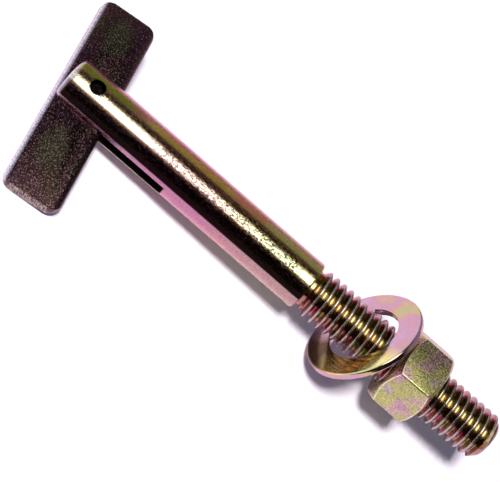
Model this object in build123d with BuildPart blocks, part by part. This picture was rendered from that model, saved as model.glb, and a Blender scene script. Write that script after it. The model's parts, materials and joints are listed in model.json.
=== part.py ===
# A gravity toggle bolt, the anchor for hollow walls: a slotted stud with a bar pivoting in its slot,
# a loose washer and a hex nut. Every piece is modelled along the stud, and at the end the whole set
# is laid down as it comes to rest on a table.
import os
from math import atan2, cos, floor, radians, sin, tan

from build123d import *

os.makedirs("parts", exist_ok=True)

# Driving dimensions, in millimetres and degrees. While it is modelled the stud lies along +X from its
# slotted end, the pivot pin lies along Z, and the short half of the bar points to +Y.

# Stud: a drawn rod with a thread cut on one end and a slot sawn in the other
stud_length = 95.7
shank_length = 54.3
shank_diameter = 9.5
shank_end_round = 1.2
shoulder_chamfer = 0.4
slot_length = 24.4
neck_length = 1.6
neck_relief = 0.1
thread_end_chamfer = 1.4

# Thread: 3/8 inch with 16 turns to the inch, right hand
thread_diameter = 9.25
thread_pitch = 1.5875
thread_depth_share = 0.6
thread_root_flat_share = 0.125
thread_flank_angle = 30
thread_clearance = 0.3

# Pivot pin, pressed into the two cheeks of the slot
pin_diameter = 2.78
pin_from_end = 5.1
pin_recess = 1.2
pin_end_chamfer = 0.25
pin_press_clearance = 0.005

# Toggle bar: flat bar with round edges, cropped a little off square
bar_short_half = 18.05
bar_long_half = 22.15
bar_width = 10.95
bar_thickness = 2.3
bar_corner_radius = 2.2
bar_off_pivot = 1.0
bar_end_skew = 4.5
bar_swing_at_rest = 12.3
bar_side_clearance = 0.085
bar_pin_clearance = 0.07

# Washer, leaning back on the thread
washer_diameter = 21.2
washer_bore = 12.6
washer_thickness = 1.3
washer_edge_round = 0.35
washer_bore_round = 0.2
washer_lean = 34.5
washer_nut_gap = 0.2

# Hex nut
nut_from_end = 74.1
nut_across_flats = 14.0
nut_thickness = 8.1
nut_face_share = 0.95
nut_chamfer_angle = 38
nut_turn_at_rest = 64
nut_countersink = 0.9

# Every cut runs past what it cuts by this much
cut_overrun = 0.1

# Rod and nut are threaded this much too long, and the spare is cut off when the ends are shaped
thread_spare = 6.4

# Sizes that follow from the ones above
shank_radius = shank_diameter / 2
thread_radius = thread_diameter / 2
thread_depth = thread_pitch * thread_depth_share
root_radius = thread_radius - thread_depth
neck_radius = root_radius - neck_relief
slot_width = bar_thickness + 2 * bar_side_clearance
flank_slope = tan(radians(thread_flank_angle))
root_half_width = thread_pitch * thread_root_flat_share / 2
crest_half_width = thread_pitch / 2 - root_half_width - thread_depth * flank_slope
groove_start = shank_length + neck_length / 2
washer_radius = washer_diameter / 2
bar_swing = radians(bar_swing_at_rest)
bar_skew_slope = tan(radians(bar_end_skew))


def thread_path(start, length):
    """The helix of the thread about the stud, starting on its +Y side at this distance from the end."""
    winding = Plane((start, 0, 0), x_dir=(0, 1, 0), z_dir=(1, 0, 0))
    return winding * Helix(thread_pitch, length, thread_radius)


# Stud
stud_thread = thread_path(groove_start, stud_length + thread_spare / 2 - groove_start)
with BuildPart() as stud:
    with BuildSketch(Plane.XY):
        with BuildLine():
            Line((0, 0), (0, shank_radius - shank_end_round))
            RadiusArc(
                (0, shank_radius - shank_end_round), (shank_end_round, shank_radius), shank_end_round
            )
            Polyline(
                (shank_end_round, shank_radius),
                (shank_length - shoulder_chamfer, shank_radius),
                (shank_length, shank_radius - shoulder_chamfer),
                (shank_length, neck_radius),
                (shank_length + neck_length, neck_radius),
                (shank_length + neck_length, thread_radius),
                (stud_length + thread_spare, thread_radius),
                (stud_length + thread_spare, 0),
                (0, 0),
            )
        make_face()
    revolve(axis=Axis.X)
    # The slot is open at the end and on both sides, so that the bar swings through it
    with BuildSketch(Plane.XY.shift_origin((-cut_overrun, 0, 0))):
        Rectangle(
            slot_length + cut_overrun,
            shank_diameter + 2 * cut_overrun,
            align=(Align.MIN, Align.CENTER),
        )
    extrude(amount=slot_width / 2, both=True, mode=Mode.SUBTRACT)
    with BuildSketch(Plane.XY.shift_origin((pin_from_end, 0, 0))):
        Circle(pin_diameter / 2 + pin_press_clearance)
    extrude(amount=shank_radius + cut_overrun, both=True, mode=Mode.SUBTRACT)
    # The thread groove starts in the neck and runs on into the spare rod
    with BuildSketch(Plane.XY):
        Polygon(
            (groove_start - root_half_width, root_radius),
            (groove_start + root_half_width, root_radius),
            (
                groove_start + root_half_width + (thread_depth + cut_overrun) * flank_slope,
                thread_radius + cut_overrun,
            ),
            (
                groove_start - root_half_width - (thread_depth + cut_overrun) * flank_slope,
                thread_radius + cut_overrun,
            ),
            align=None,
        )
    sweep(path=stud_thread, is_frenet=True, mode=Mode.SUBTRACT)
    # The rod is cut to length and its end chamfered
    with BuildSketch(Plane.XY):
        Polygon(
            (stud_length - thread_end_chamfer - cut_overrun, thread_radius + cut_overrun),
            (stud_length, thread_radius - thread_end_chamfer),
            (stud_length, 0),
            (stud_length + thread_spare + cut_overrun, 0),
            (stud_length + thread_spare + cut_overrun, thread_radius + cut_overrun),
            align=None,
        )
    revolve(axis=Axis.X, mode=Mode.SUBTRACT)

# Pivot pin, sunk below the shank's surface at both ends
pin_half_length = shank_radius - pin_recess
with BuildPart() as pivot_pin:
    with BuildSketch(Plane.XY.shift_origin((pin_from_end, 0, 0))):
        Circle(pin_diameter / 2)
    extrude(amount=pin_half_length, both=True)
    chamfer(pivot_pin.edges().filter_by(GeomType.CIRCLE), pin_end_chamfer)

# Toggle bar, on a plane with X across the bar, towards the nut, and Y along it, towards the short end
bar_plane = Plane((pin_from_end, 0, 0), x_dir=(cos(bar_swing), sin(bar_swing), 0), z_dir=(0, 0, 1))
bar_back = -bar_off_pivot - bar_width / 2
bar_front = bar_back + bar_width
bar_skew_rise = bar_width / 2 * bar_skew_slope
with BuildPart() as toggle_bar:
    bar_stock_end = bar_plane.from_local_coords(Vector(-bar_off_pivot, -bar_long_half - bar_skew_rise, 0))
    with BuildSketch(Plane(bar_stock_end, x_dir=bar_plane.x_dir, z_dir=bar_plane.y_dir)):
        SlotOverall(bar_width, bar_thickness)
    extrude(amount=bar_long_half + bar_short_half + 2 * bar_skew_rise)
    with BuildSketch(bar_plane) as bar_outline:
        Polygon(
            (bar_back, -bar_long_half + bar_skew_rise),
            (bar_front, -bar_long_half - bar_skew_rise),
            (bar_front, bar_short_half - bar_skew_rise),
            (bar_back, bar_short_half + bar_skew_rise),
            align=None,
        )
        fillet(bar_outline.vertices(), bar_corner_radius)
    extrude(amount=bar_thickness, both=True, mode=Mode.INTERSECT)
    with BuildSketch(bar_plane):
        Circle(pin_diameter / 2 + bar_pin_clearance)
    extrude(amount=bar_thickness, both=True, mode=Mode.SUBTRACT)

# Hex nut
nut_outer_face = nut_from_end + nut_thickness
nut_corner_radius = nut_across_flats / 2 / cos(radians(30)) + cut_overrun
nut_face_radius = nut_across_flats / 2 * nut_face_share
nut_bore_radius = root_radius + thread_clearance
nut_groove_radius = thread_radius + thread_clearance
nut_chamfer_depth = (nut_corner_radius - nut_face_radius) * tan(radians(nut_chamfer_angle))
nut_mouth_half_width = crest_half_width + (nut_groove_radius - nut_bore_radius + cut_overrun) * flank_slope
crest_start = groove_start + thread_pitch / 2
turns_before_nut = floor((nut_from_end - crest_start) / thread_pitch) - 1
nut_groove_start = crest_start + turns_before_nut * thread_pitch
nut_thread = thread_path(nut_groove_start, nut_thickness + 3 * thread_pitch)
with BuildPart() as hex_nut:
    with BuildSketch(Plane.YZ.offset(nut_from_end - thread_spare)):
        RegularPolygon(
            nut_across_flats / 2, side_count=6, major_radius=False, rotation=nut_turn_at_rest
        )
        Circle(nut_bore_radius, mode=Mode.SUBTRACT)
    extrude(amount=nut_thickness + 2 * thread_spare)
    # The groove follows the stud's crest, with the clearance all round it
    with BuildSketch(Plane.XY):
        Polygon(
            (nut_groove_start - crest_half_width, nut_groove_radius),
            (nut_groove_start + crest_half_width, nut_groove_radius),
            (nut_groove_start + nut_mouth_half_width, nut_bore_radius - cut_overrun),
            (nut_groove_start - nut_mouth_half_width, nut_bore_radius - cut_overrun),
            align=None,
        )
    sweep(path=nut_thread, is_frenet=True, mode=Mode.SUBTRACT)
    # Both ends are turned: a cone outside cuts the corners back, and a countersink opens the thread
    with BuildSketch(Plane.XY):
        Polygon(
            (nut_from_end, nut_bore_radius + nut_countersink),
            (nut_from_end, nut_face_radius),
            (nut_from_end + nut_chamfer_depth, nut_corner_radius),
            (nut_outer_face - nut_chamfer_depth, nut_corner_radius),
            (nut_outer_face, nut_face_radius),
            (nut_outer_face, nut_bore_radius + nut_countersink),
            (nut_outer_face - nut_countersink - cut_overrun, nut_bore_radius - cut_overrun),
            (nut_from_end + nut_countersink + cut_overrun, nut_bore_radius - cut_overrun),
            align=None,
        )
    revolve(axis=Axis.X, mode=Mode.INTERSECT)

# The washer leans back from the nut, straight uphill, so its plane follows the way up at rest
lean = radians(washer_lean)
washer_reach = (
    (washer_radius - washer_edge_round) * sin(lean)
    + (washer_thickness / 2 - washer_edge_round) * cos(lean)
    + washer_edge_round
)
washer_centre = Vector(nut_from_end - washer_nut_gap - washer_reach, 0, 0)


def washer_axis(up):
    """The washer's axis, pointing to the nut, for this way up."""
    roll = atan2(up.Y, up.Z)
    return Vector(cos(lean), -sin(lean) * sin(roll), -sin(lean) * cos(roll))


def resting_points(up):
    """The three points the set stands on for this way up: shank end, long end of the bar, washer rim."""
    down = -up
    shank_down = Vector(0, down.Y, down.Z).normalized()
    shank_point = (
        Vector(shank_end_round, 0, 0)
        + shank_down * (shank_radius - shank_end_round)
        + down * shank_end_round
    )
    corner_across = bar_back + bar_corner_radius
    corner_along = (
        -bar_long_half
        - (corner_across + bar_off_pivot) * bar_skew_slope
        + bar_corner_radius / cos(radians(bar_end_skew))
    )
    down_bar = Vector(down.dot(bar_plane.x_dir), down.dot(bar_plane.y_dir), 0).normalized()
    bar_point = bar_plane.from_local_coords(
        Vector(corner_across, corner_along, -bar_thickness / 2) + down_bar * bar_corner_radius
    )
    axis = washer_axis(up)
    rim_down = (down - axis * down.dot(axis)).normalized()
    washer_point = (
        washer_centre
        + axis * (washer_thickness / 2 - washer_edge_round)
        + rim_down * (washer_radius - washer_edge_round)
        + down * washer_edge_round
    )
    return shank_point, bar_point, washer_point


# The way up is square to the plane through the three points, which move a little as the set tips
up = Vector(0, shank_radius, bar_long_half).normalized()
for settling_step in range(30):
    shank_point, bar_point, washer_point = resting_points(up)
    up = (bar_point - shank_point).cross(washer_point - shank_point).normalized()

# Washer
washer_plane = Plane(washer_centre, x_dir=Vector(0, 1, 0).cross(washer_axis(up)), z_dir=washer_axis(up))
with BuildPart() as washer:
    with BuildSketch(washer_plane):
        Circle(washer_radius)
        Circle(washer_bore / 2, mode=Mode.SUBTRACT)
    extrude(amount=washer_thickness / 2, both=True)
    washer_rims = washer.edges().filter_by(GeomType.CIRCLE).group_by(SortBy.RADIUS)
    fillet(washer_rims[-1], washer_edge_round)
    fillet(washer_rims[0], washer_bore_round)

# Lay the set on the table: the origin is on the table, under the middle of the set, with X along the stud
table = Plane(shank_point, x_dir=Vector(1, 0, 0) - up * up.X, z_dir=up)
pieces = [stud.part, pivot_pin.part, toggle_bar.part, hex_nut.part, washer.part]
for piece in pieces:
    piece.move(table.location.inverse())
box = Compound(pieces).bounding_box()
for piece in pieces:
    piece.move(Location((-box.center().X, -box.center().Y, -box.min.Z)))

stud.part.label = "stud"
export_step(stud.part, "parts/stud.step")
pivot_pin.part.label = "pivot_pin"
export_step(pivot_pin.part, "parts/pivot_pin.step")
toggle_bar.part.label = "toggle_bar"
export_step(toggle_bar.part, "parts/toggle_bar.step")
washer.part.label = "washer"
export_step(washer.part, "parts/washer.step")
hex_nut.part.label = "hex_nut"
export_step(hex_nut.part, "parts/hex_nut.step")
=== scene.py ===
# %% [markdown]
# # A gravity toggle bolt in yellow zinc
# This lesson dresses a hollow wall anchor: a steel stud with a bar hanging in its slot, a loose washer and
# a hex nut, all plated with zinc and dipped in a yellow passivate that shines in pink, gold and green.
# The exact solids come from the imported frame. Four of them are modelled again here with the small rounded
# edges that a real part has, because those edges are what catch the light. The fifth, the pin, is sunk in
# its hole, so its exact solid stays and only gets a finish.

# %% Load the frame
import json
import math
import bpy
from mathutils import Matrix, Vector
from mathutils.bvhtree import BVHTree


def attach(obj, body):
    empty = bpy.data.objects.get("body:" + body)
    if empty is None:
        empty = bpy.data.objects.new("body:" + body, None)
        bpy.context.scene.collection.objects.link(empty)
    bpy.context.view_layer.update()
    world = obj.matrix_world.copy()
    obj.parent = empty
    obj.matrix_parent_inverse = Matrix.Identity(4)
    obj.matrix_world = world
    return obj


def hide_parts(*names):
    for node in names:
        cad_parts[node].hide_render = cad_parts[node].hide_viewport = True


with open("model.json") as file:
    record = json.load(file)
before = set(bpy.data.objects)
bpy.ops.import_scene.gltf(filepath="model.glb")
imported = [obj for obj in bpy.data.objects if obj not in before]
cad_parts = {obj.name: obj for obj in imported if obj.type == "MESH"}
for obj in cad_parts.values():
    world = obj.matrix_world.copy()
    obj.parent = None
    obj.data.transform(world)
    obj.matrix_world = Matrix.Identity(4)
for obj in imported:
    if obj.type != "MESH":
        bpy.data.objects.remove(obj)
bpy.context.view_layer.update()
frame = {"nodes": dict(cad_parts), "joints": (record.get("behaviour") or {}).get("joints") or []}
mm = 0.001
print("frame loaded, nodes:", sorted(frame["nodes"]))

# %% [markdown]
# ## The stud's own frame
# The bolt lies a little tilted on the table. It is far easier to model each piece straight along X and
# tilt it at the end, so this cell works out the stud's place from the joints: the nut slides along the stud,
# and the bar turns about the pin, which stands square to it.

# %% Work out where the stud lies
pin_from_end = 5.1
joints = {joint["name"]: joint for joint in frame["joints"]}
along = Vector(joints["washer_slide"]["axis"]).normalized()
pin_up = Vector(joints["toggle_pivot"]["axis"]).normalized()
across = pin_up.cross(along)
stud_end = Vector(joints["toggle_pivot"]["pos_m"]) - along * pin_from_end * mm
stud_frame = Matrix((along, across, pin_up)).transposed().to_4x4()
stud_frame.translation = stud_end
print("slotted end of the stud at", [round(c / mm, 2) for c in stud_end], "mm")

# %% [markdown]
# ## The stud's shank
# The shank is a drawn rod. Its slotted end is tumbled round, and its other end stops at a small shoulder
# where the thread begins. A bevelled cylinder would do, but the real rod went through a lathe, and so does
# this one: a circle is pulled along the outline, ring by ring. Three extra rings stand close to the cuts
# that come next, so that the shading of their rounded edges stays beside them.

# %% Turn the rod
def arc(x, radius, size, first, last, steps):
    """Points of a rounded edge about (x, radius), between two angles in degrees."""
    angles = [math.radians(first + (last - first) * step / steps) for step in range(steps + 1)]
    return [(x + size * math.cos(angle), radius + size * math.sin(angle)) for angle in angles]


def turn(name, outline, sides, closed=False):
    """Pulls a circle about X along an outline of (x, radius) points in millimetres."""
    bpy.ops.object.select_all(action="DESELECT")
    x, radius = outline[0]
    bpy.ops.mesh.primitive_circle_add(
        vertices=sides, radius=radius * mm, fill_type="NOTHING" if closed else "NGON",
        location=(x * mm, 0, 0), rotation=(0, math.pi / 2, 0))
    piece = bpy.context.object
    piece.name = name
    bpy.ops.object.transform_apply(location=True, rotation=True, scale=True)
    bpy.ops.object.mode_set(mode="EDIT")
    bpy.ops.mesh.select_all(action="SELECT")
    for next_x, next_radius in outline[1:]:
        bpy.ops.mesh.extrude_region_move(TRANSFORM_OT_translate={"value": ((next_x - x) * mm, 0, 0)})
        grow = next_radius / radius
        bpy.ops.transform.resize(value=(1, grow, grow), center_override=(next_x * mm, 0, 0))
        x, radius = next_x, next_radius
    bpy.ops.mesh.select_all(action="SELECT")
    bpy.ops.mesh.remove_doubles(threshold=0.002 * mm)
    bpy.ops.mesh.normals_make_consistent(inside=False)
    bpy.ops.object.mode_set(mode="OBJECT")
    return piece


shank_length = 54.3
shank_radius = 4.75
end_round = 1.2
shoulder_round = 0.4
neck_radius = 3.56
slot_length = 24.4
ring_from_pin = 1.8
ring_past_slot = 0.5
rings = (pin_from_end - ring_from_pin, pin_from_end + ring_from_pin, slot_length + ring_past_slot)
sides_round = 160
shank = turn(
    "stud",
    arc(end_round, shank_radius - end_round, end_round, first=180, last=90, steps=8)
    + [(x, shank_radius) for x in rings]
    + arc(shank_length - shoulder_round, shank_radius - shoulder_round, shoulder_round,
          first=90, last=10, steps=4)
    + [(shank_length, neck_radius)],
    sides_round)
print("turned rod:", len(shank.data.polygons), "faces")

# %% [markdown]
# ## The slot and the pin hole
# The slot is sawn in from the end and the pin hole is drilled across it, so here too both are cut out of
# the round rod. A cutter is another solid, taken away with a Boolean, and a narrow bevel then rounds the
# edges that the cutter left.

# %% Saw the slot
def work_on(piece):
    """Selects this piece alone and makes it active."""
    bpy.ops.object.select_all(action="DESELECT")
    piece.select_set(True)
    bpy.context.view_layer.objects.active = piece


def block(size, place):
    """Adds a box of this size at this place, in millimetres, with its size in its mesh."""
    bpy.ops.object.select_all(action="DESELECT")
    bpy.ops.mesh.primitive_cube_add(size=1, location=Vector(place) * mm)
    box = bpy.context.object
    box.scale = Vector(size) * mm
    bpy.ops.object.transform_apply(location=True, rotation=True, scale=True)
    return box


def combine(piece, tool, operation):
    """Adds, keeps or takes away a second solid, which is used up."""
    work_on(piece)
    cut = piece.modifiers.new("cut", "BOOLEAN")
    cut.operation = operation
    cut.solver = "EXACT"
    cut.object = tool
    bpy.ops.object.modifier_apply(modifier=cut.name)
    bpy.data.objects.remove(tool)


slot_width = 2.47
saw_overrun = 2.0
clear_through = 12
saw = block((slot_length + saw_overrun, clear_through, slot_width), ((slot_length - saw_overrun) / 2, 0, 0))
combine(shank, saw, "DIFFERENCE")
print("with the slot:", len(shank.data.polygons), "faces")

# %% Drill the pin hole and round the edges
def drill(piece, radius, depth, x):
    """Drills a hole along Z at this place on X."""
    bpy.ops.object.select_all(action="DESELECT")
    bpy.ops.mesh.primitive_cylinder_add(vertices=48, radius=radius * mm, depth=depth * mm,
                                        location=(x * mm, 0, 0))
    combine(piece, bpy.context.object, "DIFFERENCE")


def soften(piece, width, segments, angle):
    """Rounds every edge sharper than this angle."""
    work_on(piece)
    bevel = piece.modifiers.new("edge", "BEVEL")
    bevel.width = width * mm
    bevel.segments = segments
    bevel.limit_method = "ANGLE"
    bevel.angle_limit = math.radians(angle)
    bpy.ops.object.modifier_apply(modifier=bevel.name)


pin_hole_radius = 1.395
drill(shank, pin_hole_radius, clear_through, pin_from_end)
soften(shank, width=0.13, segments=2, angle=38)
print("drilled and rounded:", len(shank.data.polygons), "faces")

# %% [markdown]
# ## The thread
# A thread is one small outline wound round the rod, which is just what the Screw modifier does. The
# outline here is one turn long, from the middle of a groove to the middle of the next, with a little
# rounding at root and crest.

# %% Wind the thread
thread_pitch = 1.5875
thread_radius = 4.625
thread_depth = 0.9525
groove_from_shoulder = 0.8
half_turn = [(0, 0), (0.05, 0), (0.09, 0.045), (0.13, 0.17), (0.2, 0.397), (0.3, 0.685), (0.37, 0.888),
             (0.4, 0.955), (0.44, 0.99), (0.5, 1)]
one_turn = half_turn + [(1 - share, depth) for share, depth in reversed(half_turn[:-1])]


def draw(points):
    """Pulls one vertex along a list of points in millimetres, as a line."""
    bpy.ops.object.select_all(action="DESELECT")
    bpy.ops.mesh.primitive_plane_add(size=mm)
    line = bpy.context.object
    bpy.ops.object.mode_set(mode="EDIT")
    bpy.ops.mesh.select_all(action="SELECT")
    bpy.ops.mesh.merge(type="CENTER")
    bpy.ops.transform.translate(value=Vector(points[0]) * mm)
    for here, there in zip(points, points[1:]):
        step = (Vector(there) - Vector(here)) * mm
        bpy.ops.mesh.extrude_vertices_move(TRANSFORM_OT_translate={"value": step})
    bpy.ops.object.mode_set(mode="OBJECT")
    return line


def wind(first_groove, root, turns, steps=64):
    """Winds the thread's outline about X from this groove on, for so many turns."""
    wound = draw([(first_groove + share * thread_pitch, root + depth * thread_depth, 0)
                  for share, depth in one_turn])
    work_on(wound)
    screw = wound.modifiers.new("screw", "SCREW")
    screw.axis = "X"
    screw.angle = math.tau
    screw.screw_offset = thread_pitch * mm
    screw.iterations = turns
    screw.steps = steps
    screw.render_steps = steps
    bpy.ops.object.modifier_apply(modifier=screw.name)
    return wound


groove_start = shank_length + groove_from_shoulder
thread = wind(groove_start - 2 * thread_pitch, thread_radius - thread_depth, turns=31)
print("wound thread:", len(thread.data.polygons), "faces")

# %% [markdown]
# ## The ends of the thread
# The rod's free end is chamfered, and at the shoulder the thread runs out. Both are cones, so the winding is
# held under a cone at each end. It is then cut square, closed, and joined to the rod.

# %% Shape the ends and join the thread to the rod
def hold(wound, rule):
    """Gives each vertex of a winding the radius that a rule makes of its x and radius."""
    for vertex in wound.data.vertices:
        x, y, z = vertex.co / mm
        radius = math.hypot(y, z)
        held = rule(x, radius) / radius
        vertex.co.y *= held
        vertex.co.z *= held


def trim(wound, first, last):
    """Cuts a winding square at both ends and closes it."""
    work_on(wound)
    bpy.ops.object.mode_set(mode="EDIT")
    bpy.ops.mesh.select_all(action="SELECT")
    bpy.ops.mesh.remove_doubles(threshold=0.001 * mm)
    for place, side in ((first, -1), (last, 1)):
        bpy.ops.mesh.select_all(action="SELECT")
        bpy.ops.mesh.bisect(plane_co=(place * mm, 0, 0), plane_no=(side, 0, 0), use_fill=True,
                            clear_outer=True, threshold=0.0005 * mm)
    bpy.ops.mesh.select_all(action="SELECT")
    bpy.ops.mesh.normals_make_consistent(inside=False)
    bpy.ops.object.mode_set(mode="OBJECT")


stud_length = 95.7
end_chamfer = 1.4
runout_from_shoulder = 0.75
runout_slope = 1.1
sunk_in_rod = 0.5
short_of_end = 0.01
hold(thread, lambda x, radius: min(
    radius,
    neck_radius + max(0, x - shank_length - runout_from_shoulder) * runout_slope,
    thread_radius - end_chamfer + max(0, stud_length - x)))
trim(thread, shank_length - sunk_in_rod, stud_length - short_of_end)
combine(shank, thread, "UNION")
print("whole stud:", len(shank.data.polygons), "faces")

# %% [markdown]
# ## Laying a piece on the table
# A finished piece goes to its place, rides on its body and stands for its exact solid. How far its points
# are from that solid is measured, so that a slip in the modelling would show here.

# %% Lay the stud down
def lay_down(piece, place, node, body):
    """Puts a piece in its place, shades it, and lets it stand for its exact solid."""
    piece.matrix_world = place
    work_on(piece)
    bpy.ops.object.transform_apply(location=True, rotation=True, scale=True)
    bpy.ops.object.shade_smooth_by_angle(angle=math.radians(32))
    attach(piece, body)
    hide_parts(node)
    exact = frame["nodes"][node].data
    tree = BVHTree.FromPolygons([v.co for v in exact.vertices], [p.vertices for p in exact.polygons])
    off = [tree.find_nearest(v.co)[3] / mm for v in piece.data.vertices]
    print(f"{piece.name}: {len(piece.data.polygons)} faces, "
          f"off the solid by {sum(off) / len(off):.3f} mm on average and {max(off):.3f} mm at most")


lay_down(shank, stud_frame, "stud", "stud")

# %% [markdown]
# ## The toggle bar
# The bar is a length of round-edged flat steel, cropped a little off square, with its corners tumbled
# round. The flat stock is a box whose long edges are bevelled into half circles, and a second, rounded
# outline crops it.

# %% Roll the flat bar
def pick(piece, kind, test):
    """Opens a piece in edit mode with only the vertices or edges selected that pass a test."""
    work_on(piece)
    bpy.ops.object.mode_set(mode="EDIT")
    bpy.ops.mesh.select_mode(type=kind)
    bpy.ops.mesh.select_all(action="DESELECT")
    bpy.ops.object.mode_set(mode="OBJECT")
    for part in piece.data.vertices if kind == "VERT" else piece.data.edges:
        part.select = test(part)
    bpy.ops.object.mode_set(mode="EDIT")


bar_short_half = 18.05
bar_long_half = 22.15
bar_width = 10.95
bar_thickness = 2.3
bar_off_pivot = 1.0
bar_length = bar_short_half + bar_long_half - 0.01
bar_middle = (bar_short_half - bar_long_half) / 2
crop_waste = 4
edge_round = bar_thickness / 2 * 0.998
bar = block((bar_width, bar_length + crop_waste, bar_thickness), (-bar_off_pivot, bar_middle, 0))
bar.name = "toggle_bar"
corners = [vertex.co.copy() for vertex in bar.data.vertices]
pick(bar, "EDGE", lambda edge: (
    abs(corners[edge.vertices[0]].y - corners[edge.vertices[1]].y) > bar_width * mm))
bpy.ops.mesh.bevel(offset=edge_round * mm, segments=10, profile=0.5)
bpy.ops.object.mode_set(mode="OBJECT")
print("flat bar with round edges:", len(bar.data.polygons), "faces")

# %% Draw the outline that crops it
bar_corner = 2.2
bar_end_skew = math.radians(4.5)
bpy.ops.object.select_all(action="DESELECT")
bpy.ops.mesh.primitive_plane_add(size=1)
crop = bpy.context.object
crop.scale = (bar_width * mm, bar_length * mm, 1)
crop.location = (-bar_off_pivot * mm, bar_middle * mm, -bar_thickness * mm)
bpy.ops.object.transform_apply(location=True, rotation=True, scale=True)
# The shear operator needs a window, so the four corners are moved one by one.
for vertex in crop.data.vertices:
    vertex.co.y -= (vertex.co.x + bar_off_pivot * mm) * math.tan(bar_end_skew)
middle = Vector((-bar_off_pivot, bar_middle, 0)) * mm
for sharp in (1, -1):
    pick(crop, "VERT", lambda vertex: (
        abs(vertex.co.x - middle.x) > (bar_width / 2 - 0.01) * mm
        and abs(vertex.co.y - middle.y) > (bar_length / 2 - 1) * mm
        and (vertex.co.x - middle.x) * (vertex.co.y - middle.y) * sharp < 0))
    tangent = bar_corner / math.tan(math.radians(45) - sharp * bar_end_skew / 2)
    bpy.ops.mesh.bevel(offset=tangent * mm, segments=10, profile=0.5, affect="VERTICES")
    bpy.ops.object.mode_set(mode="OBJECT")
print("outline:", len(crop.data.vertices), "points")

# %% Crop the bar, drill it and lay it down
bpy.ops.object.mode_set(mode="EDIT")
bpy.ops.mesh.select_all(action="SELECT")
bpy.ops.mesh.extrude_region_move(TRANSFORM_OT_translate={"value": (0, 0, 2 * bar_thickness * mm)})
bpy.ops.mesh.select_all(action="SELECT")
bpy.ops.mesh.normals_make_consistent(inside=False)
bpy.ops.object.mode_set(mode="OBJECT")
combine(bar, crop, "INTERSECT")

bar_hole_radius = 1.46
bar_swing = math.radians(12.3)
drill(bar, bar_hole_radius, depth=8, x=0)
soften(bar, width=0.16, segments=3, angle=40)
bar_place = stud_frame @ Matrix.Translation((pin_from_end * mm, 0, 0)) @ Matrix.Rotation(bar_swing, 4, "Z")
lay_down(bar, bar_place, "toggle_bar", "toggle")

# %% [markdown]
# ## The washer
# A washer is stamped from sheet, so its edges are rolled over by the die. It is one closed outline turned
# about its own axis, then leaned back on the thread until its rim meets the table.

# %% Stamp the washer
washer_radius = 10.6
washer_bore = 6.3
washer_half = 0.65
rim_round = 0.35
bore_round = 0.2
washer_outline = (
    arc(washer_half - bore_round, washer_bore + bore_round, bore_round, first=270, last=360, steps=4)
    + arc(washer_half - rim_round, washer_radius - rim_round, rim_round, first=0, last=90, steps=6)
    + arc(rim_round - washer_half, washer_radius - rim_round, rim_round, first=90, last=180, steps=6)
    + arc(bore_round - washer_half, washer_bore + bore_round, bore_round, first=180, last=270, steps=4))
washer = turn("washer", washer_outline + washer_outline[:1], sides_round, closed=True)
print("washer outline:", len(washer_outline), "points")

# %% Lean it on the thread
washer_lean = math.radians(34.5)
washer_from_end = 67.497
way_up = stud_frame.to_3x3().transposed() @ Vector((0, 0, 1))
roll = math.atan2(way_up.y, way_up.z)
washer_axis = Vector((math.cos(washer_lean), -math.sin(washer_lean) * math.sin(roll),
                      -math.sin(washer_lean) * math.cos(roll)))
washer_turn = Vector((1, 0, 0)).rotation_difference(washer_axis).to_matrix().to_4x4()
washer_place = stud_frame @ Matrix.Translation((washer_from_end * mm, 0, 0)) @ washer_turn
lay_down(washer, washer_place, "washer", "washer")

# %% [markdown]
# ## The hex nut
# The nut is cut from hexagon bar, and a cone turned on each end takes its corners off in curved arcs. A
# six-sided cylinder kept inside a turned double cone gives just those arcs. Its thread is the stud's
# own outline, a little larger, taken away from the inside.

# %% Cut the hexagon and take its corners off
nut_from_end = 74.1
nut_thickness = 8.1
nut_half_flats = 7.0
nut_face_radius = 6.65
nut_corner_radius = 8.2
nut_turn = math.radians(64)
cone_slope = math.radians(38)
cone_sides = 144
hexagon_waste = 2
nut_far = nut_from_end + nut_thickness
cone_drop = (nut_corner_radius - nut_face_radius) * math.tan(cone_slope)

bpy.ops.object.select_all(action="DESELECT")
bpy.ops.mesh.primitive_cylinder_add(vertices=6, radius=nut_half_flats / math.cos(math.radians(30)) * mm,
                                    depth=(nut_thickness + hexagon_waste) * mm)
nut = bpy.context.object
nut.name = "hex_nut"
nut.matrix_world = (Matrix.Translation(((nut_from_end + nut_far) / 2 * mm, 0, 0))
                    @ Matrix.Rotation(nut_turn, 4, "X") @ Matrix.Rotation(math.pi / 2, 4, "Y"))
bpy.ops.object.transform_apply(location=True, rotation=True, scale=True)
soften(nut, width=0.22, segments=3, angle=50)
cones = turn("cones", [(nut_from_end, nut_face_radius), (nut_from_end + cone_drop, nut_corner_radius),
                       (nut_far - cone_drop, nut_corner_radius), (nut_far, nut_face_radius)], cone_sides)
combine(nut, cones, "INTERSECT")
soften(nut, width=0.2, segments=3, angle=22)
print("hexagon with cones:", len(nut.data.polygons), "faces")

# %% Cut the nut's thread and lay the nut down
thread_clearance = 0.3
countersink = 0.9
plug_overrun = 0.3
nut_root = thread_radius - thread_depth + thread_clearance
plug = wind(groove_start + 10 * thread_pitch, nut_root, turns=9)
hold(plug, lambda x, radius: max(radius, nut_root + countersink - min(x - nut_from_end, nut_far - x)))
trim(plug, nut_from_end - plug_overrun, nut_far + plug_overrun)
combine(nut, plug, "DIFFERENCE")
lay_down(nut, stud_frame, "hex_nut", "nut")
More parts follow.
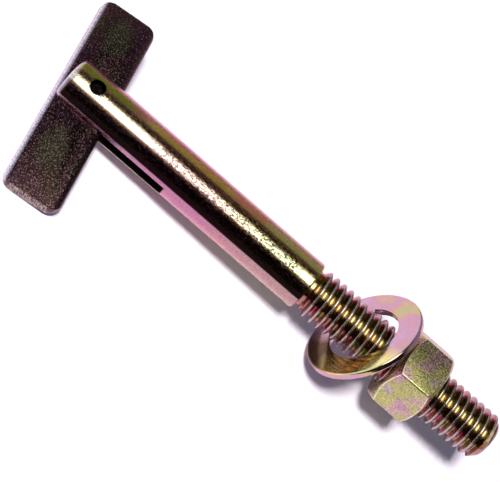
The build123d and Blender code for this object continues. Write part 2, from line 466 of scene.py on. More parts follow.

# %% [markdown]
# ## How the finish works
# The steel is plated with zinc, and the yellow passivate on it is a clear film less than half a
# micrometre thick. Light that bounces off both sides of such a film adds up in some colours and cancels in
# others, so the metal shines gold, pink or green as the film's thickness changes. The shader works this out
# for glass but not for metal, so here the film is painted: a place on the piece or a slow noise stands for
# its thickness, and a colour ramp gives the colour that each thickness shows. Places are measured in each
# piece's own millimetres, so that a pattern follows the piece. Some ramps and masks below also paint light
# and shade into the colour, and each section says where.

# %% Colours and nodes
def colour(code):
    """Turns an sRGB hex colour into the linear one that shaders use."""
    parts = [int(code[place:place + 2], 16) / 255 for place in (1, 3, 5)]
    return [c / 12.92 if c <= 0.04045 else ((c + 0.055) / 1.055) ** 2.4 for c in parts] + [1]


def node(tree, kind, settings, links):
    """Adds a node, sets what it is, and links or sets its sockets. A node in links lends its live output."""
    made = tree.nodes.new(kind)
    for name, value in settings.items():
        if name == "stops":
            ramp = made.color_ramp.elements
            while len(ramp) < len(value):
                ramp.new(0.5)
            for stop, (place, shade) in zip(ramp, value):
                stop.position = place
                stop.color = colour(shade)
        else:
            setattr(made, name, value)
    for name, value in links.items():
        if isinstance(value, bpy.types.Node):
            value = next(socket for socket in value.outputs if socket.enabled)
        if isinstance(value, bpy.types.NodeSocket):
            tree.links.new(value, made.inputs[name])
        else:
            made.inputs[name].default_value = value
    return made


# A Mix node has sockets A and B for each kind of data, all with the same names, so they go by number.
number_a, number_b, colour_a, colour_b = 2, 3, 6, 7
painted = {"data_type": "RGBA"}
tinted = {"data_type": "RGBA", "blend_type": "MULTIPLY"}
blended = {"data_type": "FLOAT"}
print("pink film in linear light:", [round(c, 2) for c in colour("#C495AB")])

# %% [markdown]
# ## Grain under the film
# All the pieces share one recipe below their film. The steel was drawn, rolled or tumbled before
# plating, which leaves a fine grain that tips the light this way and that. One noise gives it: it tips the
# surface a little, and it makes the low spots darker than the high ones. A noise is given the size of
# its lumps in millimetres, by counting the coordinates in lumps. The real grain, flecks and scuffs are
# mostly finer than a pixel of the picture, which is about a fifth of a millimetre. So they are drawn coarser
# than they are, just coarse enough to show.

# %% The recipe under the film
def own_millimetres(tree, place, lump=(1, 1, 1)):
    """Reads a piece's own straight coordinates, in lumps of so many millimetres along X, Y and Z."""
    where = node(tree, "ShaderNodeTexCoord", {}, {})
    return node(tree, "ShaderNodeMapping", {"vector_type": "TEXTURE"}, {
        "Vector": where.outputs["Object"], "Location": place.translation, "Rotation": place.to_euler(),
        "Scale": [mm * length for length in lump]})


def plate(tree, film, grain, pits, depth, rough):
    """Metal under a painted film, with a grain of this depth in millimetres."""
    low_spots = node(tree, "ShaderNodeMapRange", {}, {
        "Value": grain, "From Min": 0.32, "From Max": 0.62, "To Min": 1 - pits, "To Max": 1 + pits / 4})
    pitted = node(tree, "ShaderNodeMix", tinted, {"Factor": 1.0, colour_a: film, colour_b: low_spots})
    relief = node(tree, "ShaderNodeBump", {}, {"Height": grain, "Strength": 1.0, "Distance": depth * mm})
    metal = node(tree, "ShaderNodeBsdfPrincipled", {}, {
        "Base Color": pitted, "Metallic": 1.0, "Roughness": rough, "Specular Tint": colour("#FFE9F0"),
        "Normal": relief})
    node(tree, "ShaderNodeOutputMaterial", {}, {"Surface": metal})


print("recipe ready for", len(frame["nodes"]), "pieces")

# %% [markdown]
# ## Yellow zinc on the stud
# Drawn steel under yellow zinc is a soft mirror: it shows the bright lamp as one long streak, the dark
# room as a dark band, and the paper as pink. The film's colour changes round the rod more than along it.
# The ramp goes once round, in degrees from the far side over the top to the near side, and it paints light
# and shade for this view as well as the film: a pale band under the lamp's streak is a painted highlight,
# and a near-black band below it is painted shade where the rod mirrors the dark room. Drawing marks run
# along the shank, so the fine grain is long that way.

# %% Find the place on the rod
def blank(name):
    """Starts an empty material and gives its node tree."""
    made = bpy.data.materials.new(name)
    made.use_nodes = True
    made.node_tree.nodes.clear()
    return made, made.node_tree


stud_finish, tree = blank("yellow zinc on a drawn and threaded rod")
split = node(tree, "ShaderNodeSeparateXYZ", {}, {0: own_millimetres(tree, stud_frame)})
rod_x, rod_y, rod_z = (split.outputs[axis] for axis in "XYZ")
angle = node(tree, "ShaderNodeMath", {"operation": "ARCTAN2"}, {0: rod_z, 1: rod_y})
ramp_start = -62
turned = node(tree, "ShaderNodeMath", {"operation": "MULTIPLY_ADD"}, {
    0: angle, 1: 1 / math.tau, 2: -ramp_start / 360})
once_round = node(tree, "ShaderNodeMath", {"operation": "FRACT"}, {0: turned})
drift = node(tree, "ShaderNodeTexNoise", {}, {
    "Vector": own_millimetres(tree, stud_frame, (9, 4, 4)), "Scale": 1.0, "Detail": 3.0, "Roughness": 0.6})
shift = node(tree, "ShaderNodeMapRange", {}, {
    "Value": drift, "From Min": 0.3, "From Max": 0.7, "To Min": -0.015, "To Max": 0.015})
ramp_length = 100
along_share = node(tree, "ShaderNodeMath", {"operation": "MULTIPLY_ADD"}, {
    0: rod_x, 1: 1 / ramp_length, 2: shift})
print("the ramp round the rod starts at", ramp_start, "degrees, the one along it is", ramp_length, "mm long")

# %% Paint the shank's film
def round_the_rod(*stops):
    """Turns degrees round the rod into places on a ramp."""
    return [((degrees - ramp_start) / 360, shade) for degrees, shade in stops]


# Pale from 97 to 112 degrees is a painted highlight under the lamp's streak; darkening from 116 degrees to
# near black at 146 to 153.5 degrees is painted shade where the rod mirrors the dark room. The other stops are
# the film's colours.
film = node(tree, "ShaderNodeValToRGB", {"stops": round_the_rod(
    (-62, "#D8C08C"), (0, "#DDBBB0"), (20, "#D9B6BC"), (36, "#D5B0B5"), (48, "#D7ABB7"), (53, "#AC7786"),
    (57, "#E0909C"), (61, "#D8946E"), (64, "#E8C474"), (78, "#DCB870"), (82, "#B08A70"), (93, "#A88468"),
    (97, "#EADCB6"), (101, "#FAF5DE"), (112, "#F8F2DC"), (116, "#94766A"), (122, "#6C504E"),
    (136, "#442E32"), (146, "#201616"), (153.5, "#1C1412"), (155.5, "#C495AB"), (170, "#C495AB"),
    (184, "#CFA2B4"), (192, "#DDBEC8"), (210, "#E0C8C0"), (240, "#D4C090"), (298, "#D8C08C"))}, {
    "Fac": once_round})
clouds = node(tree, "ShaderNodeValToRGB", {"stops": [
    (0.0, "#A4A640"), (0.10, "#A2A63C"), (0.125, "#C88A78"), (0.15, "#E09A86"), (0.17, "#E4D066"),
    (0.34, "#DCCC62"), (0.36, "#F5A88E"), (0.415, "#F0A488"), (0.43, "#DCC890"), (0.54, "#D8C088")]}, {
    "Fac": along_share})
on_back = node(tree, "ShaderNodeValToRGB", {"stops": round_the_rod(
    (59, "#000000"), (64, "#FFFFFF"), (77, "#FFFFFF"), (82, "#000000"))}, {"Fac": once_round})
shank_film_and_painted_light = node(tree, "ShaderNodeMix", painted, {"Factor": on_back, colour_a: film, colour_b: clouds})
tints = node(tree, "ShaderNodeValToRGB", {"stops": [
    (0.0, "#FFFCEC"), (0.15, "#FFFFF8"), (0.21, "#FFDCEC"), (0.31, "#FFDCE6"), (0.38, "#FFF2D8"),
    (0.45, "#F4FFD4"), (0.52, "#F4FFD4")]}, {"Fac": along_share})
shank_film_and_painted_light = node(tree, "ShaderNodeMix", tinted, {"Factor": 0.8, colour_a: shank_film_and_painted_light, colour_b: tints})
print("shank film:", len(tree.nodes), "nodes so far")

# %% [markdown]
# ### Flecks on the shank
# Along its top the shank was rubbed by other parts in the barrel. Fine dark flecks break up the lamp's
# streak there, most of all on the half next to the thread.

# %% Break the streak into flecks
fleck_noise = node(tree, "ShaderNodeTexNoise", {}, {
    "Vector": own_millimetres(tree, stud_frame, (0.38, 0.17, 0.17)), "Scale": 1.0, "Detail": 2.0})
flecks = node(tree, "ShaderNodeMapRange", {}, {
    "Value": fleck_noise, "From Min": 0.47, "From Max": 0.55, "To Min": 0.03, "To Max": 0.85})
rubbed_along = node(tree, "ShaderNodeValToRGB", {"stops": [
    (0.0, "#202020"), (0.15, "#383838"), (0.21, "#F0F0F0"), (0.48, "#FFFFFF"), (0.525, "#404040")]}, {
    "Fac": along_share})
on_top = node(tree, "ShaderNodeValToRGB", {"stops": round_the_rod(
    (86, "#000000"), (94, "#FFFFFF"), (124, "#FFFFFF"), (134, "#000000"))}, {"Fac": once_round})
rubbed = node(tree, "ShaderNodeMath", {"operation": "MULTIPLY"}, {0: rubbed_along, 1: on_top})
shank_film_and_painted_light = node(tree, "ShaderNodeMix", tinted, {
    "Factor": rubbed, colour_a: shank_film_and_painted_light, colour_b: flecks})
print("with the flecks:", len(tree.nodes), "nodes")

# %% [markdown]
# ### The thread's film
# The flanks of the thread are gold above and pink with green patches below, with a pale band painted
# where the lamp's streak falls, a painted highlight. The crests rub against everything, so their film is
# worn through, and the thin near-white line painted along each one is partly that bare silver and partly a
# painted reflection of the window.

# %% Paint the thread's film
# Pale from 93 to 116 degrees is a painted highlight under the lamp's streak; the other stops are the film's
# colours.
thread_film_and_painted_light = node(tree, "ShaderNodeValToRGB", {"stops": round_the_rod(
    (-62, "#D8C08C"), (20, "#E8C0D0"), (48, "#E0AABE"), (58, "#D08CA4"), (64, "#96444C"), (70, "#9A7430"),
    (88, "#9A8838"), (93, "#F0E2B4"), (116, "#F4E8C0"), (121, "#B89050"), (136, "#A87C40"),
    (142, "#7A5830"), (145, "#D08C98"), (168, "#CC8898"), (174, "#DDB4C0"), (200, "#E0C4CC"),
    (240, "#D0B878"), (298, "#D8C08C"))}, {"Fac": once_round})
blotches = node(tree, "ShaderNodeTexNoise", {}, {
    "Vector": own_millimetres(tree, stud_frame, (2.6, 2, 2)), "Scale": 1.0, "Detail": 2.0})
sheen = node(tree, "ShaderNodeValToRGB", {"stops": [
    (0.36, "#FFEEB8"), (0.5, "#FFFFF0"), (0.62, "#F0C088")]}, {"Fac": blotches})
thread_film_and_painted_light = node(tree, "ShaderNodeMix", tinted, {"Factor": 0.75, colour_a: thread_film_and_painted_light, colour_b: sheen})
patches = node(tree, "ShaderNodeValToRGB", {"stops": [
    (0.36, "#7E9A30"), (0.44, "#C8A878"), (0.52, "#D88C98"), (0.64, "#B04A60")]}, {"Fac": blotches})
on_front = node(tree, "ShaderNodeValToRGB", {"stops": round_the_rod(
    (142, "#000000"), (146, "#FFFFFF"), (167, "#FFFFFF"), (173, "#000000"))}, {"Fac": once_round})
thread_film_and_painted_light = node(tree, "ShaderNodeMix", painted, {
    "Factor": on_front, colour_a: thread_film_and_painted_light, colour_b: patches})
print("with the thread:", len(tree.nodes), "nodes")

# %% Wear the crests, paint their glint and join the two films
across_rod = node(tree, "ShaderNodeCombineXYZ", {}, {"Y": rod_y, "Z": rod_z})
from_axis = node(tree, "ShaderNodeVectorMath", {"operation": "LENGTH"}, {0: across_rod})
# The near-white line on the crests is partly worn silver and partly a painted reflection of the window.
worn_crests_and_glint = node(tree, "ShaderNodeMapRange", {}, {
    "Value": from_axis.outputs["Value"], "From Min": thread_radius - 0.16, "From Max": thread_radius - 0.04,
    "To Max": 0.6})
thread_film_and_painted_light = node(tree, "ShaderNodeMix", painted, {
    "Factor": worn_crests_and_glint, colour_a: thread_film_and_painted_light, colour_b: colour("#E6E6E6")})
on_thread = node(tree, "ShaderNodeMapRange", {}, {
    "Value": rod_x, "From Min": shank_length - 0.1, "From Max": shank_length + 0.2})
rod_film_and_painted_light = node(tree, "ShaderNodeMix", painted, {
    "Factor": on_thread, colour_a: shank_film_and_painted_light, colour_b: thread_film_and_painted_light})
print("with the worn crests:", len(tree.nodes), "nodes")

# %% [markdown]
# ### The slot, the pin hole and the ends
# Little light reaches into the saw cut and the hole, so they are painted nearly black, a painted shade. The
# saw left a rough lip along the slot's lower edge: a thin band there is rougher and painted near white, a
# painted highlight where the lip catches the lamp. The slotted end is painted pale, and the free end is dull
# pink.

# %% Find the slot for its painted shade, and paint a highlight on its lip
height = node(tree, "ShaderNodeMath", {"operation": "ABSOLUTE"}, {0: rod_z})
half_slot = slot_width / 2
between_cheeks = node(tree, "ShaderNodeMapRange", {}, {
    "Value": height, "From Min": half_slot + 0.001, "From Max": half_slot + 0.02,
    "To Min": 1.0, "To Max": 0.0})
before_slot_end = node(tree, "ShaderNodeMapRange", {}, {
    "Value": rod_x, "From Min": slot_length, "From Max": slot_length + 0.2, "To Min": 1.0, "To Max": 0.0})
in_slot = node(tree, "ShaderNodeMath", {"operation": "MULTIPLY"}, {0: between_cheeks, 1: before_slot_end})
# A thin band below the slot's lower edge is rougher and painted near white: the rough lip, with a painted
# highlight where it catches the lamp.
low_edge = node(tree, "ShaderNodeMath", {"operation": "COMPARE"}, {0: rod_z, 1: -half_slot - 0.1, 2: 0.12})
lip_burr_and_highlight = node(tree, "ShaderNodeMath", {"operation": "MULTIPLY"}, {0: low_edge, 1: before_slot_end})
rod_film_and_painted_light = node(tree, "ShaderNodeMix", painted, {
    "Factor": lip_burr_and_highlight, colour_a: rod_film_and_painted_light, colour_b: colour("#FFF4DC")})
print("with the slot and its lip:", len(tree.nodes), "nodes")

# %% Paint shade in the slot and the pin hole, and finish the ends
over_hole = node(tree, "ShaderNodeCombineXYZ", {}, {"X": rod_x, "Y": rod_y})
from_hole = node(tree, "ShaderNodeVectorMath", {"operation": "DISTANCE"}, {
    0: over_hole, 1: (pin_from_end, 0, 0)})
in_hole = node(tree, "ShaderNodeMapRange", {}, {
    "Value": from_hole.outputs["Value"], "From Min": pin_hole_radius + 0.02,
    "From Max": pin_hole_radius + 0.1, "To Min": 1.0, "To Max": 0.0})
# The slot and the pin hole are painted nearly black: painted shade in the recesses.
painted_shade_in_cuts = node(tree, "ShaderNodeMath", {"operation": "MAXIMUM"}, {0: in_slot, 1: in_hole})
rod_film_and_painted_light = node(tree, "ShaderNodeMix", painted, {
    "Factor": painted_shade_in_cuts, colour_a: rod_film_and_painted_light, colour_b: colour("#1C1716")})
on_end = node(tree, "ShaderNodeMapRange", {}, {
    "Value": rod_x, "From Min": 0.2, "From Max": 0.9, "To Min": 0.8, "To Max": 0.0})
rod_film_and_painted_light = node(tree, "ShaderNodeMix", painted, {
    "Factor": on_end, colour_a: rod_film_and_painted_light, colour_b: colour("#E6DCE8")})
on_tip = node(tree, "ShaderNodeMapRange", {}, {
    "Value": rod_x, "From Min": stud_length - 0.5, "From Max": stud_length - 0.3})
rod_film_and_painted_light = node(tree, "ShaderNodeMix", painted, {
    "Factor": on_tip, colour_a: rod_film_and_painted_light, colour_b: colour("#C8A8A8")})
print("with the hole and the ends:", len(tree.nodes), "nodes")

# %% Grain and shine of the stud
def wear(piece, finish):
    """Gives a piece this one finish."""
    piece.data.materials.clear()
    piece.data.materials.append(finish)
    print(piece.name, "wears", finish.name, "with", len(finish.node_tree.nodes), "nodes")


drawn = node(tree, "ShaderNodeTexNoise", {}, {
    "Vector": own_millimetres(tree, stud_frame, (0.36, 0.15, 0.15)), "Scale": 1.0, "Detail": 3.0,
    "Roughness": 0.62})
smooth_thread = node(tree, "ShaderNodeMapRange", {}, {"Value": on_thread, "To Min": 1.0, "To Max": 0.2})
grain = node(tree, "ShaderNodeMath", {"operation": "MULTIPLY"}, {0: drawn, 1: smooth_thread})
scuffs = node(tree, "ShaderNodeTexNoise", {}, {
    "Vector": own_millimetres(tree, stud_frame, (0.8, 0.14, 0.14)), "Scale": 1.0, "Detail": 2.0,
    "Roughness": 0.62})
shank_rough = node(tree, "ShaderNodeMapRange", {}, {
    "Value": scuffs, "From Min": 0.50, "From Max": 0.66, "To Min": 0.13, "To Max": 0.40})
thread_rough = node(tree, "ShaderNodeMapRange", {}, {
    "Value": scuffs, "From Min": 0.42, "From Max": 0.60, "To Min": 0.13, "To Max": 0.34})
rough = node(tree, "ShaderNodeMix", blended, {
    "Factor": on_thread, number_a: shank_rough, number_b: thread_rough})
rough = node(tree, "ShaderNodeMix", blended, {"Factor": lip_burr_and_highlight, number_a: rough, number_b: 0.45})
plate(tree, rod_film_and_painted_light, grain, pits=0.4, depth=0.03, rough=rough)
wear(shank, stud_finish)

# %% [markdown]
# ## Yellow zinc on the flat bar
# The bar's faces are rolled and tumbled, so their grain is coarse and even, with bright specks where the
# film is worn. The film is thick there and shows purple-brown, with an olive cloud on each half where
# the bath drained last. Over that the faces are painted darker towards the long end and lighter towards the
# short end, as painted shade and light. The tumbled rear edge is painted pale pink, a painted reflection of
# the paper, the rounded front edge is painted dark, a painted shade, and the cropped ends show the short
# dashes that the shear left.

# %% Paint the bar's film
bar_finish, tree = blank("yellow zinc on rolled flat bar")
split = node(tree, "ShaderNodeSeparateXYZ", {}, {0: own_millimetres(tree, bar_place)})
bar_x, bar_y = split.outputs["X"], split.outputs["Y"]
clouds = node(tree, "ShaderNodeTexNoise", {}, {
    "Vector": own_millimetres(tree, bar_place, (4, 5, 4)), "Scale": 1.0, "Detail": 4.0, "Roughness": 0.62})
film = node(tree, "ShaderNodeValToRGB", {"stops": [
    (0.30, "#5E3450"), (0.46, "#5A3448"), (0.56, "#5E3E40"), (0.66, "#544A38"), (0.75, "#603C50")]}, {
    "Fac": clouds})
cloud_stretch = 0.62
cloud_middle = (-1.2, 12.5 * cloud_stretch, 0)
half = node(tree, "ShaderNodeMath", {"operation": "ABSOLUTE"}, {0: bar_y})
half_share = node(tree, "ShaderNodeMath", {"operation": "MULTIPLY"}, {0: half, 1: cloud_stretch})
on_half = node(tree, "ShaderNodeCombineXYZ", {}, {"X": bar_x, "Y": half_share})
from_cloud = node(tree, "ShaderNodeVectorMath", {"operation": "DISTANCE"}, {0: on_half, 1: cloud_middle})
ragged = node(tree, "ShaderNodeMath", {"operation": "MULTIPLY_ADD"}, {
    0: clouds, 1: 7.0, 2: from_cloud.outputs["Value"]})
in_cloud = node(tree, "ShaderNodeMapRange", {}, {
    "Value": ragged, "From Min": 5.0, "From Max": 6.6, "To Min": 0.9, "To Max": 0.0})
film = node(tree, "ShaderNodeMix", painted, {
    "Factor": in_cloud, colour_a: film, colour_b: colour("#6A6850")})
# Darker towards the long end and lighter towards the short end: painted shade and light across the bar.
painted_shade_to_long_end = node(tree, "ShaderNodeMapRange", {}, {
    "Value": bar_y, "From Min": -14.0, "From Max": 10.0, "To Min": 0.3, "To Max": 1.4})
film = node(tree, "ShaderNodeMix", tinted, {"Factor": 1.0, colour_a: film, colour_b: painted_shade_to_long_end})
print("bar film:", len(tree.nodes), "nodes")

# %% Wear the bar's faces and paint light and shade on its edges
scuffs = node(tree, "ShaderNodeTexNoise", {}, {
    "Vector": own_millimetres(tree, bar_place, (0.27, 0.27, 0.27)), "Scale": 1.0, "Detail": 3.0,
    "Roughness": 0.6})
most_worn = 0.55
worn = node(tree, "ShaderNodeMapRange", {}, {
    "Value": scuffs, "From Min": 0.52, "From Max": 0.66, "To Min": 0.0, "To Max": most_worn})
film = node(tree, "ShaderNodeMix", painted, {"Factor": worn, colour_a: film, colour_b: colour("#A08A84")})
# The rear edge painted pale pink is a painted reflection of the paper; the front edge painted dark is painted
# shade.
painted_rear_reflection = node(tree, "ShaderNodeMapRange", {}, {"Value": bar_x, "From Min": -5.5, "From Max": -6.1})
film = node(tree, "ShaderNodeMix", painted, {"Factor": painted_rear_reflection, colour_a: film, colour_b: colour("#EDE2EA")})
painted_front_shade = node(tree, "ShaderNodeMapRange", {}, {
    "Value": bar_x, "From Min": 3.5, "From Max": 4.1, "To Max": 0.75})
film = node(tree, "ShaderNodeMix", painted, {"Factor": painted_front_shade, colour_a: film, colour_b: colour("#4A3A3C")})
print("with wear:", len(tree.nodes), "nodes")

# %% Mark the cropped end and finish the bar
from_middle = node(tree, "ShaderNodeMath", {"operation": "ADD"}, {0: bar_x, 1: bar_off_pivot})
past_crop = node(tree, "ShaderNodeMath", {"operation": "MULTIPLY_ADD"}, {
    0: from_middle, 1: math.tan(bar_end_skew), 2: bar_y})
cropped = node(tree, "ShaderNodeMapRange", {}, {
    "Value": past_crop, "From Min": 0.14 - bar_long_half, "From Max": 0.06 - bar_long_half})
dashes = node(tree, "ShaderNodeTexNoise", {}, {
    "Vector": own_millimetres(tree, bar_place, (0.24, 1.0, 1.4)), "Scale": 1.0, "Detail": 2.0})
shear_marks = node(tree, "ShaderNodeValToRGB", {"stops": [(0.40, "#3A2E2A"), (0.60, "#B4A498")]}, {
    "Fac": dashes})
film = node(tree, "ShaderNodeMix", painted, {"Factor": cropped, colour_a: film, colour_b: shear_marks})
tumbled = node(tree, "ShaderNodeTexNoise", {}, {
    "Vector": own_millimetres(tree, bar_place, (0.22, 0.22, 0.22)), "Scale": 1.0, "Detail": 3.0,
    "Roughness": 0.62})
rough = node(tree, "ShaderNodeMapRange", {}, {
    "Value": worn, "From Max": most_worn, "To Min": 0.14, "To Max": 0.48})
plate(tree, film, tumbled, pits=0.6, depth=0.04, rough=rough)
wear(bar, bar_finish)

# %% [markdown]
# ## Yellow zinc on the washer
# Sheet is smooth, so the washer mirrors the thread and the table in its face. Its film is pink with clouds
# of yellow and green and a few blue spots. On its near half it turns gold, and lower down it is painted
# dark brown, a painted shade for the shadowed paper that it mirrors there.

# %% Paint the washer
washer_finish, tree = blank("yellow zinc on stamped sheet")
split = node(tree, "ShaderNodeSeparateXYZ", {}, {0: own_millimetres(tree, washer_place)})
clouds = node(tree, "ShaderNodeTexNoise", {}, {
    "Vector": own_millimetres(tree, washer_place, (5, 5, 5)), "Scale": 1.0, "Detail": 3.0,
    "Roughness": 0.55})
film = node(tree, "ShaderNodeValToRGB", {"stops": [
    (0.30, "#B4BCD0"), (0.36, "#CDA4B8"), (0.50, "#CFA0AC"), (0.56, "#CFA8A0"), (0.63, "#CDB884"),
    (0.72, "#B8BE8C")]}, {"Fac": clouds})
wavy = node(tree, "ShaderNodeMath", {"operation": "MULTIPLY_ADD"}, {
    0: clouds, 1: 4.0, 2: split.outputs["Y"]})
low_side = node(tree, "ShaderNodeMapRange", {}, {"Value": wavy, "From Min": 0.5, "From Max": -2.5})
on_face = node(tree, "ShaderNodeMapRange", {}, {
    "Value": split.outputs["X"], "From Min": 0.2 - washer_half, "From Max": 0.1 - washer_half})
near_face_half = node(tree, "ShaderNodeMath", {"operation": "MULTIPLY"}, {0: low_side, 1: on_face})
gold = node(tree, "ShaderNodeValToRGB", {"stops": [
    (0.34, "#D8C078"), (0.46, "#EEDC8C"), (0.58, "#F6ECA4"), (0.68, "#D8D084")]}, {"Fac": clouds})
# Dark brown further out on the near half: painted shade for the shadowed paper mirrored there.
painted_shade_outward = node(tree, "ShaderNodeMapRange", {}, {
    "Value": split.outputs["Z"], "From Min": 0.5, "From Max": -4.5, "To Min": 0.0, "To Max": 0.95})
gold = node(tree, "ShaderNodeMix", painted, {"Factor": painted_shade_outward, colour_a: gold, colour_b: colour("#543830")})
film = node(tree, "ShaderNodeMix", painted, {"Factor": near_face_half, colour_a: film, colour_b: gold})
fine = node(tree, "ShaderNodeTexNoise", {}, {
    "Vector": own_millimetres(tree, washer_place, (0.35, 0.35, 0.35)), "Scale": 1.0, "Detail": 3.0})
rough = node(tree, "ShaderNodeMapRange", {}, {
    "Value": fine, "From Min": 0.45, "From Max": 0.66, "To Min": 0.10, "To Max": 0.22})
plate(tree, film, fine, pits=0.1, depth=0.006, rough=rough)
wear(washer, washer_finish)

# %% [markdown]
# ## Yellow zinc on the nut
# The nut's flats were scraped against other nuts in the barrel, so they are dull and mottled with bright
# specks, and a few dark scratches run along them. The film on them drifts softly from pink to
# yellow-green. The rounded edges at both ends are painted near white and smoother: partly worn bright, and
# partly a painted highlight where they catch the light. They are found by how far the surface leans
# towards the ends, which is the same on all six corners.

# %% Paint the nut's flats
nut_finish, tree = blank("yellow zinc on hexagon bar")
clouds = node(tree, "ShaderNodeTexNoise", {}, {
    "Vector": own_millimetres(tree, stud_frame, (5, 4, 4)), "Scale": 1.0, "Detail": 2.0})
film = node(tree, "ShaderNodeValToRGB", {"stops": [
    (0.30, "#D0A2B0"), (0.42, "#D2B8A0"), (0.50, "#C4C07C"), (0.58, "#CCC484"), (0.68, "#C8B2AC"),
    (0.78, "#BAAABA")]}, {"Fac": clouds})
streaks = node(tree, "ShaderNodeTexNoise", {}, {
    "Vector": own_millimetres(tree, stud_frame, (2.4, 0.16, 0.16)), "Scale": 1.0, "Detail": 1.0})
scratched = node(tree, "ShaderNodeMapRange", {}, {
    "Value": streaks, "From Min": 0.68, "From Max": 0.74, "To Min": 0.0, "To Max": 0.7})
film = node(tree, "ShaderNodeMix", painted, {
    "Factor": scratched, colour_a: film, colour_b: colour("#5E4A44")})
scraped = node(tree, "ShaderNodeTexNoise", {}, {
    "Vector": own_millimetres(tree, stud_frame, (0.34, 0.24, 0.24)), "Scale": 1.0, "Detail": 4.0,
    "Roughness": 0.62})
scuffs = node(tree, "ShaderNodeTexNoise", {}, {
    "Vector": own_millimetres(tree, stud_frame, (0.3, 0.2, 0.2)), "Scale": 1.0, "Detail": 3.0,
    "Roughness": 0.7})
rough = node(tree, "ShaderNodeMapRange", {}, {
    "Value": scuffs, "From Min": 0.48, "From Max": 0.66, "To Min": 0.24, "To Max": 0.52})
print("nut flats:", len(tree.nodes), "nodes")

# %% Wear the nut's edges and paint their highlight
facing = node(tree, "ShaderNodeTexCoord", {}, {})
lean = node(tree, "ShaderNodeVectorMath", {"operation": "DOT_PRODUCT"}, {
    0: facing.outputs["Normal"], 1: stud_frame.to_3x3() @ Vector((1, 0, 0))})
to_ends = node(tree, "ShaderNodeMath", {"operation": "ABSOLUTE"}, {0: lean.outputs["Value"]})
# The near-white colour and low roughness on the end edges are partly wear and partly a painted highlight.
worn_edge_and_highlight = node(tree, "ShaderNodeValToRGB", {"stops": [
    (0.12, "#000000"), (0.25, "#FFFFFF"), (0.5, "#FFFFFF"), (0.62, "#000000")]}, {"Fac": to_ends})
film = node(tree, "ShaderNodeMix", painted, {
    "Factor": worn_edge_and_highlight, colour_a: film, colour_b: colour("#FFF8F0")})
rough = node(tree, "ShaderNodeMix", blended, {"Factor": worn_edge_and_highlight, number_a: rough, number_b: 0.15})
plate(tree, film, scraped, pits=0.5, depth=0.02, rough=rough)
wear(nut, nut_finish)

# %% [markdown]
# ## The pin
# The pin sits below the surface in its hole, where little light reaches. It is plain steel, painted nearly
# black with a faint shine, a painted shade for the hole it sits in.

# %% Darken the pin
pin_finish, tree = blank("dark steel pin in painted shade")
pin_mottle = node(tree, "ShaderNodeTexNoise", {}, {
    "Vector": own_millimetres(tree, stud_frame, (0.6, 0.6, 0.6)), "Scale": 1.0, "Detail": 3.0})
# Nearly black film: painted shade for the pin's hole.
film = node(tree, "ShaderNodeValToRGB", {"stops": [(0.35, "#141110"), (0.65, "#2C2622")]}, {"Fac": pin_mottle})
rough = node(tree, "ShaderNodeMapRange", {}, {
    "Value": pin_mottle, "From Min": 0.4, "From Max": 0.6, "To Min": 0.3, "To Max": 0.5})
plate(tree, film, pin_mottle, pits=0.3, depth=0.03, rough=rough)
wear(frame["nodes"]["pivot_pin"], pin_finish)

# %% [markdown]
# ## The table
# The anchor lies on white paper. Paper has no shine that would show here, so it is a plain diffuse white,
# with a small glow for the camera and for reflections that lifts it to the clean white of the photograph.
# It lies a hair below the anchor, so that the two never share a plane.

# %% Lay the paper
below_anchor = 0.03
bpy.ops.object.select_all(action="DESELECT")
bpy.ops.mesh.primitive_plane_add(size=4, location=(0, 0, -below_anchor * mm))
table = bpy.context.object
table.name = "table"
paper, tree = blank("white paper")
seen = node(tree, "ShaderNodeLightPath", {}, {})
seen_or_mirrored = node(tree, "ShaderNodeMath", {"operation": "MAXIMUM"}, {
    0: seen.outputs["Is Camera Ray"], 1: seen.outputs["Is Glossy Ray"]})
seen_any = node(tree, "ShaderNodeMath", {"operation": "MAXIMUM"}, {
    0: seen_or_mirrored, 1: seen.outputs["Is Transmission Ray"]})
glow = node(tree, "ShaderNodeMath", {"operation": "MULTIPLY"}, {0: seen_any, 1: 0.11})
sheet = node(tree, "ShaderNodeBsdfPrincipled", {}, {
    "Base Color": colour("#F2ECF6"), "Roughness": 0.9, "Specular IOR Level": 0.0,
    "Emission Color": colour("#B4B0E4"), "Emission Strength": glow})
node(tree, "ShaderNodeOutputMaterial", {}, {"Surface": sheet})
wear(table, paper)

# %% [markdown]
# ## Light
# A metal shows its surroundings, so the room matters as much as the lamps. One long softbox overhead draws
# the streak along the rod. A far lamp lights the paper evenly and gives the shadow its soft edge.
# Each is left out of the other's work, so streak and shadow can be set apart.

# %% Hang the lamps
def hang(kind, name, place, shade, mirrored):
    """Hangs a lamp that faces the middle of the table, and gives its settings."""
    bpy.ops.object.select_all(action="DESELECT")
    bpy.ops.object.light_add(type=kind, location=place)
    lamp = bpy.context.object
    lamp.name = name
    lamp.data.color = colour(shade)[:3]
    lamp.visible_camera = False
    lamp.visible_glossy = mirrored
    lamp.visible_diffuse = not mirrored
    lamp.rotation_euler = (-Vector(place)).to_track_quat("-Z", "Y").to_euler()
    return lamp.data


softbox_radiance = 4.6
softbox = hang("AREA", "overhead_softbox", (0.02, -0.175, 0.67), "#FFFDF8", mirrored=True)
softbox.shape = "RECTANGLE"
softbox.size, softbox.size_y = 0.5, 0.36
softbox.energy = softbox_radiance * math.pi * softbox.size * softbox.size_y
far_lamp = hang("SUN", "far_lamp", (-0.088, -0.20, 0.70), "#FFFDFC", mirrored=False)
far_lamp.angle = math.radians(13)
far_lamp.energy = 3.7
print(f"softbox {softbox.energy:.2f} W, far lamp {far_lamp.energy} W on each square metre")

# %% [markdown]
# ## The room
# Around the lamps the room is dark, with a pale wall behind and a window at the slotted end, whose cool
# light shows on the flanks of the thread that face it. The room lights the paper less than it shows in the
# metal, so that the shadow keeps its depth.

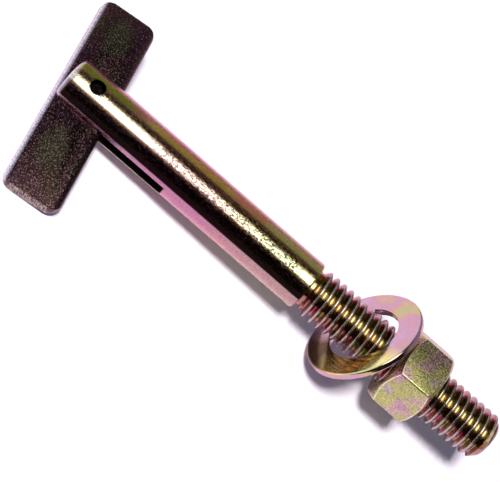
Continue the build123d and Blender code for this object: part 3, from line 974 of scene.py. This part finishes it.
# %% Build the dim room
world = bpy.data.worlds.new("dim_studio")
bpy.context.scene.world = world
world.use_nodes = True
tree = world.node_tree
tree.nodes.clear()
facing = node(tree, "ShaderNodeTexCoord", {}, {})
split = node(tree, "ShaderNodeSeparateXYZ", {}, {0: facing.outputs["Generated"]})
behind = node(tree, "ShaderNodeMapRange", {}, {
    "Value": split.outputs["Y"], "From Min": 0.05, "From Max": 0.35, "To Min": 0.0, "To Max": 0.30})
low_down = node(tree, "ShaderNodeMapRange", {}, {
    "Value": split.outputs["Z"], "From Min": 0.72, "From Max": 0.86, "To Min": 1.0, "To Max": 0.08})
back_wall = node(tree, "ShaderNodeMath", {"operation": "MULTIPLY_ADD"}, {0: behind, 1: low_down, 2: 0.015})
window = node(tree, "ShaderNodeMapRange", {}, {
    "Value": split.outputs["X"], "From Min": -0.36, "From Max": -0.62, "To Min": 0.0, "To Max": 1.0})
room = node(tree, "ShaderNodeMix", painted, {
    "Factor": window, colour_a: back_wall, colour_b: colour("#E4EEFF")})
lit = node(tree, "ShaderNodeLightPath", {}, {})
strength = node(tree, "ShaderNodeMath", {"operation": "MULTIPLY_ADD"}, {
    0: lit.outputs["Is Diffuse Ray"], 1: -0.66, 2: 1.0})
studio = node(tree, "ShaderNodeBackground", {}, {"Color": room, "Strength": strength})
node(tree, "ShaderNodeOutputWorld", {}, {"Surface": studio})
print("room with", len(tree.nodes), "nodes")

# %% [markdown]
# ## Camera
# The photograph looks down on the anchor from the near side, with the camera rolled so that the stud lies
# across the picture from corner to corner. The place and the lens come from matching the outlines of the
# solids with those in the photograph.

# %% Set the camera
camera_turn = (26.8928, -29.684, 33.8141)
bpy.ops.object.select_all(action="DESELECT")
bpy.ops.object.camera_add(location=(-0.032804, -0.154272, 0.201618),
                          rotation=[math.radians(degrees) for degrees in camera_turn])
camera = bpy.context.object
camera.data.sensor_width = 36
camera.data.lens = 104.83
camera.data.clip_start = 0.01
bpy.context.scene.camera = camera
bpy.context.scene.view_settings.view_transform = "Standard"
print("camera at", [round(c / mm) for c in camera.location], "mm")
